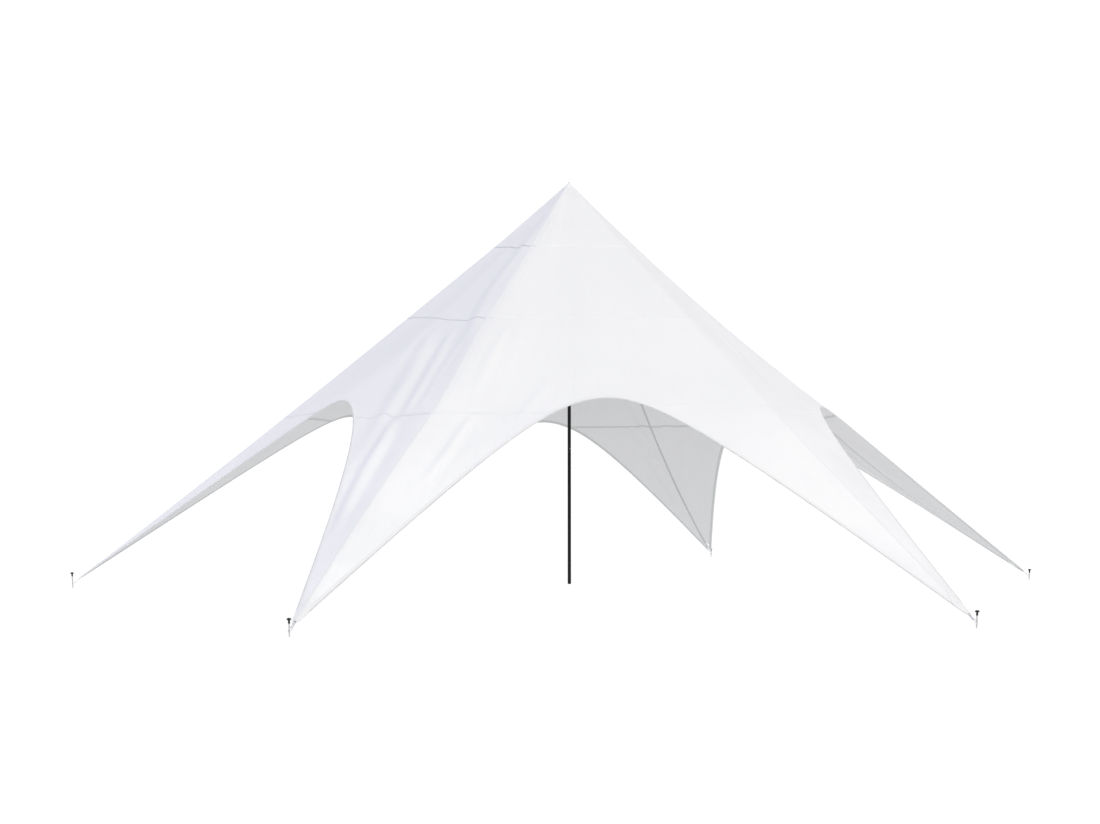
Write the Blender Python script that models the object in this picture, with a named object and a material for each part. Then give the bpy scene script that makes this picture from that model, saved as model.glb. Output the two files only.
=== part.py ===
"""A star tent: a six-pointed canopy on one centre pole, with each point pegged to the ground.

Metres, +Z up. The origin is the middle of the pole's foot, on the ground, and the first
arm of the canopy runs along +X. The canopy's outer surface is described on rays that run
out from the pole: a bearing says which ray, and a share says how far down it, from 0 at
the apex to 1 at the canopy's free edge.
"""

import math

import bmesh
import bpy
from mathutils import Vector

ARMS = 6
ARM_STEP = math.tau / ARMS
RIDGE_ANGLE = ARM_STEP / 2

# The canopy's outer surface
APEX_HEIGHT = 5.0
PEG_RADIUS = 5.94
STRAP_HEIGHT = 0.06
ARCH_RADIUS = 3.16
ARCH_HEIGHT = 2.12
ARCH_PLAN_BEND = 0.97
ARCH_RISE_BEND = 0.80
CLOTH_SAG = 0.10

# The panels and the webbing sewn under their edge
SEAM_HEIGHTS = (4.10, 3.10, 2.05)
CROWN_HOLE_RADIUS = 0.02
CLOTH_END = 0.14
CLOTH_THICKNESS = 0.003
WEBBING_WIDTH = 0.025
WEBBING_THICKNESS = 0.0025
WEBBING_GAP = 0.0005
CROWN_CAP_RADIUS = 0.095
CROWN_CAP_THICKNESS = 0.003
JOINT_GAP = 0.0003

# The pole and the head that carries the canopy
POLE_RADIUS = 0.021
POLE_TOP = 4.86
HEAD_RADIUS = 0.07
HEAD_TIP_RADIUS = 0.012
HEAD_NECK_RADIUS = 0.027
HEAD_RIM = 0.012
HEAD_FLARE = 0.020

# The pegs, and the straps that hold the points of the canopy to them
PEG_SHOWING = (0.14, 0.14, 0.16, 0.19, 0.16, 0.16)
PEG_LEAN = math.radians(4.0)
ROD_RADIUS = 0.009
CAP_SLEEVE_RADIUS = 0.0105
CAP_SLEEVE_LENGTH = 0.034
CAP_DOME_RADIUS = 0.0205
CAP_DOME_HEIGHT = 0.014
CAP_RIM = 0.004
STRAP_THICKNESS = 0.005
STRAP_HALF_WIDTH = 0.014
STRAP_EYE_WALL = 0.007
STRAP_OVERLAP = 0.07

# How finely the curves are cut into faces
CROWN_COLUMNS = 2
SIDE_COLUMNS = 6
END_COLUMNS = 3
BAND_ROWS = 2
ARM_ROWS = 4
POLE_SIDES = 32
PEG_SIDES = 12
EYE_STEPS = 8
CAP_RAY_STEP = math.radians(10.0)
SIDE_SPREAD = 1.4
SHARP_ANGLE = math.radians(35.0)
DOME_ANGLES = (math.radians(25), math.radians(50), math.radians(70))
SLOPE_STEP = 0.001
WELD_DISTANCE = 0.000002

HALF_SPAN = PEG_RADIUS * math.sin(RIDGE_ANGLE)
TIP_OUT = PEG_RADIUS * math.cos(RIDGE_ANGLE)
CLOTH_STATION = PEG_RADIUS - CLOTH_END


def solve(rises_past, low, high):
    """The point between low and high where rises_past turns from false to true."""
    for _ in range(60):
        middle = (low + high) / 2
        if rises_past(middle):
            high = middle
        else:
            low = middle
    return (low + high) / 2


def arch_edge(across):
    """How far out and how high an arch's edge is, so far to one side of its centre line."""

    def flare(bend):
        return (math.hypot(1, across / bend) - 1) / (math.hypot(1, HALF_SPAN / bend) - 1)

    out = ARCH_RADIUS + (TIP_OUT - ARCH_RADIUS) * flare(ARCH_PLAN_BEND)
    height = ARCH_HEIGHT + (STRAP_HEIGHT - ARCH_HEIGHT) * flare(ARCH_RISE_BEND)
    return out, height


def edge_angle(across):
    """Angle off the arch's centre line of the ray that meets its edge there."""
    return math.atan2(across, arch_edge(across)[0])


def station(across):
    """How far along the nearest arm that point of the edge is."""
    out = arch_edge(across)[0]
    return out * math.cos(RIDGE_ANGLE) + across * math.sin(RIDGE_ANGLE)


def off_centre(bearing):
    """Angle between a bearing and the centre line of the arch that it falls in."""
    return abs(bearing % ARM_STEP - RIDGE_ANGLE)


def ray_across(angle):
    """How far across its arch a ray, so far off the arch's centre line, meets the edge."""
    return solve(lambda trial: edge_angle(trial) > angle, 0.0, HALF_SPAN * 1.001)


def ray_edge(angle):
    """Plan radius and height of the canopy's edge on the ray so far off an arch's centre line."""
    across = ray_across(angle)
    out, height = arch_edge(across)
    return math.hypot(across, out), height


def height_on_ray(angle, radius):
    edge_radius, edge_height = ray_edge(angle)
    share = radius / edge_radius
    return APEX_HEIGHT + (edge_height - APEX_HEIGHT) * share - 4 * CLOTH_SAG * share * (1 - share)


def slant(angle, radius):
    """Vertical distance for each metre measured square to the cloth."""
    turn = min(SLOPE_STEP, radius / 2) / radius
    start = height_on_ray(angle, radius)
    outward = (height_on_ray(angle, radius + SLOPE_STEP) - start) / SLOPE_STEP
    inner = max(angle - turn, 0.0)
    sideways = (start - height_on_ray(inner, radius)) / (turn * radius)
    return math.sqrt(1 + outward**2 + sideways**2)


def cloth_point(bearing, share, below=0.0, aside=0.0):
    """A point on the canopy, so far below its outer face, and moved so far around the pole."""
    angle = off_centre(bearing)
    radius = share * ray_edge(angle)[0]
    height = height_on_ray(angle, radius) - below * slant(angle, radius)
    direction = bearing + aside / radius
    return Vector((radius * math.cos(direction), radius * math.sin(direction), height))


def share_at_height(angle, height):
    """The share down a ray at which the canopy is so high, or 1 where its edge is higher."""
    fall = APEX_HEIGHT - ray_edge(angle)[1] + 4 * CLOTH_SAG
    drop = APEX_HEIGHT - height
    root = fall**2 - 16 * CLOTH_SAG * drop
    if root < 0:
        return 1.0
    return min(1.0, 2 * drop / (fall + math.sqrt(root)))


def webbing_share(angle):
    """The share at which the webbing's inner side crosses a ray."""
    across = min(ray_across(angle), END_HALF)
    out = arch_edge(across)[0]
    next_out = arch_edge(across + SLOPE_STEP)[0]
    edge_direction = math.atan2(SLOPE_STEP, next_out - out)
    between = edge_direction - edge_angle(across)
    return 1 - WEBBING_WIDTH / (math.hypot(across, out) * math.sin(between))


def crown_half_width():
    """Half the width of an arch where its edge passes the lowest seam."""
    return solve(lambda trial: arch_edge(trial)[1] < SEAM_HEIGHTS[-1], 0.0, HALF_SPAN)


def end_half_width():
    """How far from the arch's centre line its edge is where the cloth of an arm ends."""
    return solve(lambda trial: station(trial) > CLOTH_STATION, 0.0, HALF_SPAN)


CROWN_HALF = crown_half_width()
END_HALF = end_half_width()


def side_distances():
    """Distances across an arch of the columns of faces from its crown to the arm's end."""
    reach = END_HALF - CROWN_HALF
    return [CROWN_HALF + reach * (i / SIDE_COLUMNS) ** SIDE_SPREAD for i in range(SIDE_COLUMNS + 1)]


def crown_distances():
    return [CROWN_HALF * i / CROWN_COLUMNS for i in range(CROWN_COLUMNS)]


def both_sides(values):
    """The values mirrored about zero, in rising order, with a zero listed once."""
    return [-value for value in reversed(values) if value > 0] + list(values)


def mesh_object(name, vertices, faces, finish):
    mesh = bpy.data.meshes.new(name)
    mesh.from_pydata([tuple(vertex) for vertex in vertices], [], faces)
    closed = bmesh.new()
    closed.from_mesh(mesh)
    bmesh.ops.remove_doubles(closed, verts=closed.verts, dist=WELD_DISTANCE)
    bmesh.ops.recalc_face_normals(closed, faces=closed.faces)
    closed.to_mesh(mesh)
    closed.free()
    mesh.materials.append(finish)
    thing = bpy.data.objects.new(name, mesh)
    bpy.context.scene.collection.objects.link(thing)
    return thing


def slab(name, outer, inner, finish):
    """A closed sheet between two grids of points, outer and inner, given as lists of columns."""
    columns, rows = len(outer), len(outer[0])
    vertices = [point for grid in (outer, inner) for column in grid for point in column]

    def at(side, column, row):
        return side * columns * rows + column * rows + row

    faces = []
    for side in (0, 1):
        for i in range(columns - 1):
            for j in range(rows - 1):
                corners = ((i, j), (i + 1, j), (i + 1, j + 1), (i, j + 1))
                faces.append(tuple(at(side, *corner) for corner in corners))
    around = [(i, 0) for i in range(columns)]
    around += [(columns - 1, j) for j in range(1, rows)]
    around += [(i, rows - 1) for i in range(columns - 2, -1, -1)]
    around += [(0, j) for j in range(rows - 2, 0, -1)]
    for first, second in zip(around, around[1:] + around[:1]):
        faces.append((at(0, *first), at(0, *second), at(1, *second), at(1, *first)))
    return mesh_object(name, vertices, faces, finish)


def turned(name, profile, sides, finish):
    """A solid of revolution about Z from (radius, height) pairs, with its ends on the axis."""
    vertices = []
    rings = []
    for radius, height in profile:
        if radius == 0:
            rings.append([len(vertices)] * sides)
            vertices.append(Vector((0, 0, height)))
            continue
        rings.append([len(vertices) + k for k in range(sides)])
        for k in range(sides):
            angle = math.tau * k / sides
            vertices.append(Vector((radius * math.cos(angle), radius * math.sin(angle), height)))
    faces = []
    for low, high in zip(rings, rings[1:]):
        for k in range(sides):
            following = (k + 1) % sides
            corners = [low[k], low[following], high[following], high[k]]
            face = list(dict.fromkeys(corners))
            if len(face) > 2:
                faces.append(face)
    thing = mesh_object(name, vertices, faces, finish)
    thing.data.shade_smooth()
    thing.data.set_sharp_from_angle(angle=SHARP_ANGLE)
    return thing


def material(name, colour, roughness, metallic=0.0):
    made = bpy.data.materials.new(name)
    made.use_nodes = True
    shader = made.node_tree.nodes["Principled BSDF"]
    shader.inputs["Base Color"].default_value = (*colour, 1.0)
    shader.inputs["Roughness"].default_value = roughness
    shader.inputs["Metallic"].default_value = metallic
    return made


def repeat(name, first):
    """Names the first piece NAME_1 and puts its copies around the pole, one for each arm."""
    first.name = f"{name}_1"
    for k in range(1, ARMS):
        copy = bpy.data.objects.new(f"{name}_{k + 1}", first.data)
        copy.rotation_euler.z = k * ARM_STEP
        bpy.context.scene.collection.objects.link(copy)


def band_panel(name, top_height, bottom_height, cloth):
    """One gore's panel between two level seams, or from the crown's hole, or down to the arch."""
    angles = [edge_angle(across) for across in crown_distances() + side_distances()]
    outer, inner = [], []
    for angle in both_sides([*angles, RIDGE_ANGLE]):
        off = abs(angle)
        shares = []
        if top_height is None:
            shares = [CROWN_HOLE_RADIUS / ray_edge(off)[0]]
            top = CROWN_CAP_RADIUS / ray_edge(off)[0]
        else:
            top = share_at_height(off, top_height - JOINT_GAP / 2)
        bottom = share_at_height(off, bottom_height + JOINT_GAP / 2)
        last = bottom * webbing_share(off)
        shares += [top + (last - top) * j / BAND_ROWS for j in range(BAND_ROWS + 1)] + [bottom]
        aside = -math.copysign(JOINT_GAP / 2, angle) if off == RIDGE_ANGLE else 0.0
        bearing = RIDGE_ANGLE + angle
        outer.append([cloth_point(bearing, share, 0.0, aside) for share in shares])
        inner.append([cloth_point(bearing, share, CLOTH_THICKNESS, aside) for share in shares])
    repeat(name, slab(name, outer, inner, cloth))


def arm_panel(name, top_height, cloth):
    """The panel that runs down to a peg, folded along its ridge, between two arches' edges."""
    end_bearing = RIDGE_ANGLE - edge_angle(END_HALF)
    bearings = [end_bearing * i / END_COLUMNS for i in range(END_COLUMNS)]
    bearings += [RIDGE_ANGLE - edge_angle(across) for across in reversed(side_distances())]
    outer, inner = [], []
    for bearing in both_sides(bearings):
        off = RIDGE_ANGLE - abs(bearing)
        edge_radius = ray_edge(off)[0]
        bottom = min(1.0, CLOTH_STATION / (edge_radius * math.cos(bearing)))
        top = share_at_height(off, top_height - JOINT_GAP / 2)
        last = max(bottom * webbing_share(off), (top + bottom) / 2)
        shares = [top + (last - top) * j / ARM_ROWS for j in range(ARM_ROWS + 1)] + [bottom]
        outer.append([cloth_point(bearing, share) for share in shares])
        inner.append([cloth_point(bearing, share, CLOTH_THICKNESS) for share in shares])
    repeat(name, slab(name, outer, inner, cloth))


def edge_webbing(name, webbing):
    """The band of webbing under an arch's edge, from the end of one arm to the next."""
    upper_face = CLOTH_THICKNESS + WEBBING_GAP
    lower_face = upper_face + WEBBING_THICKNESS
    outer, inner = [], []
    for across in both_sides(crown_distances() + side_distances()):
        angle = edge_angle(abs(across))
        bearing = RIDGE_ANGLE + math.copysign(angle, across)
        shares = (webbing_share(angle), 1.0)
        outer.append([cloth_point(bearing, share, upper_face) for share in shares])
        inner.append([cloth_point(bearing, share, lower_face) for share in shares])
    repeat(name, slab(name, outer, inner, webbing))


def crown_cap(name, cloth):
    """The patch sewn over the apex, following the canopy's faces down to its own rim."""
    rays = round(math.tau / CAP_RAY_STEP)
    radii = (CROWN_CAP_RADIUS / 2, CROWN_CAP_RADIUS)
    vertices, faces = [], []
    for above in (JOINT_GAP + CROWN_CAP_THICKNESS, JOINT_GAP):
        centre = len(vertices)
        vertices.append(Vector((0, 0, APEX_HEIGHT + above * math.sqrt(2))))
        for k in range(rays):
            bearing = k * CAP_RAY_STEP
            edge_radius = ray_edge(off_centre(bearing))[0]
            vertices.extend(cloth_point(bearing, radius / edge_radius, -above) for radius in radii)
        for k in range(rays):
            here = centre + 1 + 2 * k
            there = centre + 1 + 2 * ((k + 1) % rays)
            faces.append((centre, here, there))
            faces.append((here, here + 1, there + 1, there))
    below = 2 * rays + 1
    for k in range(rays):
        here = 2 + 2 * k
        there = 2 + 2 * ((k + 1) % rays)
        faces.append((here, there, there + below, here + below))
    mesh_object(name, vertices, faces, cloth)


def centre_pole(steel, plastic):
    """The tube from the ground up, and the head on its top that the canopy hangs from."""
    tube = [(0, 0), (POLE_RADIUS, 0), (POLE_RADIUS, POLE_TOP), (0, POLE_TOP)]
    turned("pole", tube, POLE_SIDES, steel)

    def underside(radius):
        return height_on_ray(0.0, radius) - (CLOTH_THICKNESS + JOINT_GAP) * slant(0.0, radius)

    seat = POLE_TOP + JOINT_GAP
    rim = underside(HEAD_RADIUS)
    profile = [
        (0, seat),
        (HEAD_NECK_RADIUS, seat),
        (HEAD_NECK_RADIUS, rim - HEAD_RIM - HEAD_FLARE),
        (HEAD_RADIUS, rim - HEAD_RIM),
        (HEAD_RADIUS, rim),
        (HEAD_TIP_RADIUS, underside(HEAD_TIP_RADIUS)),
        (0, underside(HEAD_TIP_RADIUS)),
    ]
    turned("pole_head", profile, POLE_SIDES, plastic)


def lean_out(thing):
    """Leans a piece away from the tent about the strap's height, and moves it to the peg's place."""
    for vertex in thing.data.vertices:
        vertex.co.x += PEG_RADIUS + (vertex.co.z - STRAP_HEIGHT) * math.tan(PEG_LEAN)


def pegs(steel, plastic):
    """Six steel rods with black mushroom caps, each driven in until so much of it shows."""
    for k, showing in enumerate(PEG_SHOWING):
        rim = showing - CAP_DOME_HEIGHT
        sleeve_end = rim - CAP_SLEEVE_LENGTH
        rod_top = rim - CAP_RIM
        shank = [(0, 0), (ROD_RADIUS, 0), (ROD_RADIUS, rod_top), (0, rod_top)]
        rod = turned(f"peg_{k + 1}", shank, PEG_SIDES, steel)
        bore = ROD_RADIUS + JOINT_GAP
        dome = [
            (CAP_DOME_RADIUS * math.cos(angle), rim + CAP_DOME_HEIGHT * math.sin(angle))
            for angle in DOME_ANGLES
        ]
        profile = [
            (0, rod_top + JOINT_GAP),
            (bore, rod_top + JOINT_GAP),
            (bore, sleeve_end),
            (CAP_SLEEVE_RADIUS, sleeve_end),
            (CAP_SLEEVE_RADIUS, rim - CAP_RIM),
            (CAP_DOME_RADIUS, rim),
            *dome,
            (0, showing),
        ]
        cap = turned(f"peg_cap_{k + 1}", profile, PEG_SIDES, plastic)
        for thing in (rod, cap):
            lean_out(thing)
            thing.rotation_euler.z = k * ARM_STEP


def tip_strap(name, webbing):
    """The strap from under an arm's end to the peg, with an eye that the peg stands in."""
    hole = ROD_RADIUS + JOINT_GAP
    eye = hole + STRAP_EYE_WALL
    start = CLOTH_STATION - STRAP_OVERLAP - PEG_RADIUS
    reach = math.pi - math.asin(STRAP_HALF_WIDTH / eye)
    arc = [reach * (i / EYE_STEPS - 1) for i in range(2 * EYE_STEPS + 1)]
    outline = [(eye * math.cos(angle), eye * math.sin(angle)) for angle in arc]
    outline += [(start, STRAP_HALF_WIDTH), (start, 0), (start, -STRAP_HALF_WIDTH)]
    back_step = (math.pi - reach) / 2
    back_hole = hole / math.cos(back_step / 2)
    inner = [(hole * math.cos(angle), hole * math.sin(angle)) for angle in arc]
    inner += [
        (back_hole * math.cos(reach + back_step * i), back_hole * math.sin(reach + back_step * i))
        for i in (1, 2, 3)
    ]

    def seat(along):
        off = RIDGE_ANGLE - math.atan2(STRAP_HALF_WIDTH, along)
        radius = math.hypot(STRAP_HALF_WIDTH, along)
        return height_on_ray(off, radius) - (CLOTH_THICKNESS + JOINT_GAP) * slant(off, radius)

    fall = (seat(CLOTH_STATION - STRAP_OVERLAP) - seat(CLOTH_STATION)) / STRAP_OVERLAP
    at_peg = seat(CLOTH_STATION) - fall * CLOTH_END

    def ring(points, below):
        placed = []
        for x, y in points:
            height = at_peg - x * fall - below
            lean = (height - STRAP_HEIGHT) * math.tan(PEG_LEAN) if x > -2 * eye else 0.0
            placed.append(Vector((PEG_RADIUS + x + lean, y, height - lean * fall)))
        return placed

    loops = [ring(points, below) for below in (0, STRAP_THICKNESS) for points in (outline, inner)]
    vertices = [point for loop in loops for point in loop]
    count = len(outline)
    faces = []
    for first, second in ((0, 1), (2, 3), (0, 2), (1, 3)):
        for i in range(count):
            following = (i + 1) % count
            corners = (first * count + i, first * count + following)
            faces.append((*corners, second * count + following, second * count + i))
    repeat(name, mesh_object(name, vertices, faces, webbing))


def build():
    for thing in list(bpy.data.objects):
        bpy.data.objects.remove(thing, do_unlink=True)
    cloth = material("canopy_cloth", (0.86, 0.86, 0.87), 0.6)
    webbing = material("webbing", (0.62, 0.63, 0.64), 0.8)
    black_steel = material("black_pole", (0.012, 0.012, 0.013), 0.4)
    galvanised = material("galvanised_steel", (0.62, 0.63, 0.64), 0.35, 1.0)
    black_plastic = material("black_plastic", (0.02, 0.02, 0.021), 0.45)

    names = ("canopy_top", "canopy_middle", "canopy_lower")
    for name, top, bottom in zip(names, (None, *SEAM_HEIGHTS), SEAM_HEIGHTS):
        band_panel(name, top, bottom, cloth)
    arm_panel("canopy_arm", SEAM_HEIGHTS[-1], cloth)
    edge_webbing("edge_webbing", webbing)
    crown_cap("crown_cap", cloth)
    centre_pole(black_steel, black_plastic)
    pegs(galvanised, black_plastic)
    tip_strap("tip_strap", webbing)


build()
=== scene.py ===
"""Looks of a six-armed star tent: one stretched white canopy on a black pole, with its seams, hems,
edge binding, arm straps, links, slides and pegs, on a plain pale floor."""

import math
import random
import bpy
import numpy as np
from mathutils import Matrix, Vector, noise
from mathutils.bvhtree import BVHTree

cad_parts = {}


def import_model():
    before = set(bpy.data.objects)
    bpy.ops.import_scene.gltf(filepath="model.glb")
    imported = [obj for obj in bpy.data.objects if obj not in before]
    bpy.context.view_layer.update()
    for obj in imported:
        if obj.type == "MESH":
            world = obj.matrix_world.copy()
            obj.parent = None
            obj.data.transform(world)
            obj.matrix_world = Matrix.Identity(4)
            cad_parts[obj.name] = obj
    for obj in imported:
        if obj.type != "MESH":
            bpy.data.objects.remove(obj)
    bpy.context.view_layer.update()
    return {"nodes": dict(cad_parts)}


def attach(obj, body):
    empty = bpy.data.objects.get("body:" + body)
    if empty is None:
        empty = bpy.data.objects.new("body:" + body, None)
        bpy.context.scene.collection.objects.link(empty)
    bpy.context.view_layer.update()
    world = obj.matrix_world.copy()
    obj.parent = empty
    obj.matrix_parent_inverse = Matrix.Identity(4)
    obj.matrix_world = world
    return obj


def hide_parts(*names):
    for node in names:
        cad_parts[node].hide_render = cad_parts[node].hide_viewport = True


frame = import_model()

# The canopy's form, in metres and degrees: six arms round the pole, arm 0 on +X.
ARMS = 6
ARM_STEP = 360 / ARMS
HALF_GORE = ARM_STEP / 2
APEX_HEIGHT = 5.0
PEG_RADIUS = 5.94
STRAP_HEIGHT = 0.06
ARCH_RADIUS = 3.16
ARCH_HEIGHT = 2.12
ARCH_PLAN_BEND = 0.97
ARCH_RISE_BEND = 0.80
CLOTH_STATION = 5.855
CLOTH_THICKNESS = 0.0015
HALF_SPAN = PEG_RADIUS * math.sin(math.radians(HALF_GORE))
TIP_OUT = PEG_RADIUS * math.cos(math.radians(HALF_GORE))

# How the cloth hangs: the sag between the arms and under each, how far each ridge is drawn aside,
# the small lift of the front left arch, and the rounding of the ridges.
GORE_SAG = 0.10
ARM_SAG = np.array([0.27, 0.30, 0.09, 0.05, 0.015, 0.07])
ARM_SKEW = np.array([-0.07, 0.0, 0.02, 0.0, 0.0, 0.0])
ARM_SHIFT = np.array([0.0, 0.06, 0.0, 0.0, 0.0, 0.0])
FOLDED_ARM = 4
SWAY_AT = 0.58
SWAY_SPREAD = 0.13
SWAY_ASIDE = 0.058
ARCH_LIFT = 0.042
ARCH_LIFT_AT = 212
ARCH_LIFT_SPREAD = 9.0
RIDGE_ROUND = 0.10
RIDGE_ROUND_MOST = 6.0

# The level seams, which rise toward one side.
SEAM_HEIGHTS = (4.04, 3.065, 2.05)
SEAM_RISES = (0.122, 0.20)
SEAM_RISE_AT = 180
LOWER_SEAM_DROP = (0.0, 0.0, 0.0, 0.0, 0.09, 0.0)

# The canopy's mesh. The crown's rings are radii, each with how many columns it skips.
GORE_COLUMNS = 88
CLOTH_ROWS = 86
CROWN_RINGS = ((0.010, 8), (0.050, 8), (0.110, 4), (0.200, 2), (0.320, 1))
STRIP_STEP = 0.028
SLOPE_STRETCH = 1.35
RUN_STRETCH = 1.25
RAYS_A_DEGREE = 0.05

# The pole and the pegs, as in the part's source.
POLE_RADIUS = 0.021
POLE_TOP = 4.86
POLE_JOINTS = (1.62, 3.24)
PEG_SHOWING = (0.14, 0.14, 0.16, 0.19, 0.16, 0.16)
PEG_LEAN = math.radians(4.0)
ROD_RADIUS = 0.007
CAP_RISE = 0.014
CAP_RADIUS = 0.0205

# The fittings at an arm's end.
STRAP_START = 5.76
STRAP_HALF_WIDTH = 0.0135
TAPE_THICKNESS = 0.0022
TAPE_APART = 0.00125
WIRE = 0.0028
LINK_HALF_LENGTH = 0.026
LINK_HALF_WIDTH = 0.0135
UNDER_CLOTH = 0.0045
TIP_PATCH_LENGTH = 0.22

# The folds that pull from the front left arm's peg: points as (distance along the arm, distance
# aside of its ridge, anticlockwise positive), then the fold's half width and its height.
FOLDS = [
    (((0.70, -0.10), (1.35, -0.20), (1.75, -0.24), (2.30, -0.16), (2.60, -0.12)), 0.100, 0.022),
    (((1.70, -0.98), (2.05, -1.09), (2.40, -1.06)), 0.090, 0.010),
    (((1.85, -0.88), (2.35, -0.80), (2.68, -0.73), (3.24, -0.67), (3.65, -0.68)), 0.130, 0.038),
    (((2.05, -0.52), (2.56, -0.46), (2.88, -0.40), (3.15, -0.38), (3.55, -0.33)), 0.090, 0.033),
    (((2.40, -0.20), (2.84, -0.23), (3.11, -0.21), (3.55, -0.16)), 0.070, 0.014),
    (((3.40, -0.50), (3.75, -0.41), (4.11, -0.38), (4.45, -0.33), (4.95, -0.22)), 0.095, 0.052),
    (((2.25, 0.24), (2.66, 0.28), (2.95, 0.29), (3.30, 0.36)), 0.055, 0.010),
    (((3.42, 0.44), (3.68, 0.41), (3.95, 0.395), (4.32, 0.34)), 0.050, 0.021),
    (((2.75, 0.96), (3.05, 0.91), (3.35, 0.85)), 0.060, 0.009),
]
FOLD_END = 0.12
FOLD_SEED = 11
QUIET_SIDES = {(5, -1), (5, 1), (0, -1), (3, 1)}


def arch_edge(across):
    """Out and height of an arch's edge, that far across from the arch's centre line."""

    def flare(bend):
        return (np.hypot(1, across / bend) - 1) / (math.hypot(1, HALF_SPAN / bend) - 1)

    out = ARCH_RADIUS + (TIP_OUT - ARCH_RADIUS) * flare(ARCH_PLAN_BEND)
    height = ARCH_HEIGHT + (STRAP_HEIGHT - ARCH_HEIGHT) * flare(ARCH_RISE_BEND)
    return out, height


# The arch's edge as tables: by angle and radius, and by distance along and aside of the ridge.
EDGE_ACROSS = np.linspace(0, HALF_SPAN, 6001)
EDGE_OUT, EDGE_HEIGHT = arch_edge(EDGE_ACROSS)
EDGE_ANGLE = np.degrees(np.arctan2(EDGE_ACROSS, EDGE_OUT))
EDGE_RADIUS = np.hypot(EDGE_ACROSS, EDGE_OUT)
EDGE_ALONG = EDGE_RADIUS * np.cos(np.radians(HALF_GORE - EDGE_ANGLE))
EDGE_ASIDE = EDGE_RADIUS * np.sin(np.radians(HALF_GORE - EDGE_ANGLE))


def polar(radius, turn):
    return radius * math.cos(turn), radius * math.sin(turn)


def off_centre(bearing):
    """Degrees between a bearing and the centre line of its gore."""
    return np.abs(np.mod(bearing, ARM_STEP) - HALF_GORE)


def edge_at(off):
    """Plan radius and height of an arch's edge, that many degrees off its gore's centre line."""
    return np.interp(off, EDGE_ANGLE, EDGE_RADIUS), np.interp(off, EDGE_ANGLE, EDGE_HEIGHT)


def edge_radius_at(bearing):
    return edge_at(off_centre(bearing))[0]


def cloth_radius(bearing):
    """Plan radius where the cloth ends on a bearing: at the arch, or square across an arm's end."""
    from_ridge = np.radians(HALF_GORE - off_centre(bearing))
    return np.minimum(edge_radius_at(bearing), CLOTH_STATION / np.cos(from_ridge))


def nearest_arm(bearing):
    """Index of the arm nearest to a bearing, and how near it is, from 0 to 1."""
    arm = np.mod(np.rint(bearing / ARM_STEP).astype(int), ARMS)
    return arm, np.sin(np.radians(90 * off_centre(bearing) / HALF_GORE)) ** 4


def smooth_height(bearing, radius):
    """Height of the canopy without its folds. The ridges are rounded, widest near the crown."""
    from_ridge = HALF_GORE - off_centre(bearing)
    rounding = np.degrees(RIDGE_ROUND * (1 - radius / PEG_RADIUS) / np.maximum(radius, 0.1))
    rounding = np.clip(rounding, 0, RIDGE_ROUND_MOST)
    edge_radius, edge_height = edge_at(np.maximum(HALF_GORE - np.hypot(from_ridge, rounding), 0))
    share = radius / edge_radius
    arm, near = nearest_arm(bearing)
    sag = GORE_SAG + (ARM_SAG[arm] - GORE_SAG) * near
    skew = ARM_SKEW[arm] * near
    straight = APEX_HEIGHT + (edge_height - APEX_HEIGHT) * share
    lift = ARCH_LIFT * np.exp(-(((np.mod(bearing, 360) - ARCH_LIFT_AT) / ARCH_LIFT_SPREAD) ** 2))
    straight = straight + lift * np.clip(share, 0, 1) ** 5
    return straight - 4 * sag * share * (1 - share) - skew * np.sin(math.tau * share)


def height_at(bearing, radius):
    """The same height at a single spot."""
    return float(smooth_height(np.array(bearing), np.array(radius)))


def radius_at_height(bearing, height):
    """Plan radius where the canopy passes a height on a bearing, by halving."""
    low, high = np.zeros_like(bearing), edge_radius_at(bearing)
    for _ in range(30):
        middle = (low + high) / 2
        above = smooth_height(bearing, middle) > height
        low, high = np.where(above, middle, low), np.where(above, high, middle)
    return high


def shifted(bearing, radius):
    """Plan place of a spot on the canopy, with each ridge drawn aside by its arm's shift."""
    turn = np.radians(bearing)
    arm, near = nearest_arm(bearing)
    share = radius / edge_radius_at(bearing)
    aside = ARM_SHIFT[arm] * near * 4 * share * (1 - share)
    sway = SWAY_ASIDE * np.exp(-(((share - SWAY_AT) / SWAY_SPREAD) ** 2))
    aside = aside + np.where(arm == FOLDED_ARM, near * sway, 0)
    along = np.radians(arm * ARM_STEP)
    x = radius * np.cos(turn) - aside * np.sin(along)
    y = radius * np.sin(turn) + aside * np.cos(along)
    return np.stack([x, y], -1)


def rounded(points, count):
    """A polyline through points, resampled by Catmull-Rom to count points a span."""
    p = [np.array(q, float) for q in points]
    p = [2 * p[0] - p[1], *p, 2 * p[-1] - p[-2]]
    path = []
    for a, b, c, d in zip(p, p[1:], p[2:], p[3:]):
        for t in np.arange(count) / count:
            square = (2 * a - 5 * b + 4 * c - d) * t * t
            cube = (3 * b - a - 3 * c + d) * t**3
            path.append(0.5 * (2 * b + (c - a) * t + square + cube))
    return np.array([*path, p[-2]])


def arm_half_width(along):
    """Half of an arm's width that far along its ridge."""
    return float(np.interp(along, EDGE_ALONG, EDGE_ASIDE))


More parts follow.
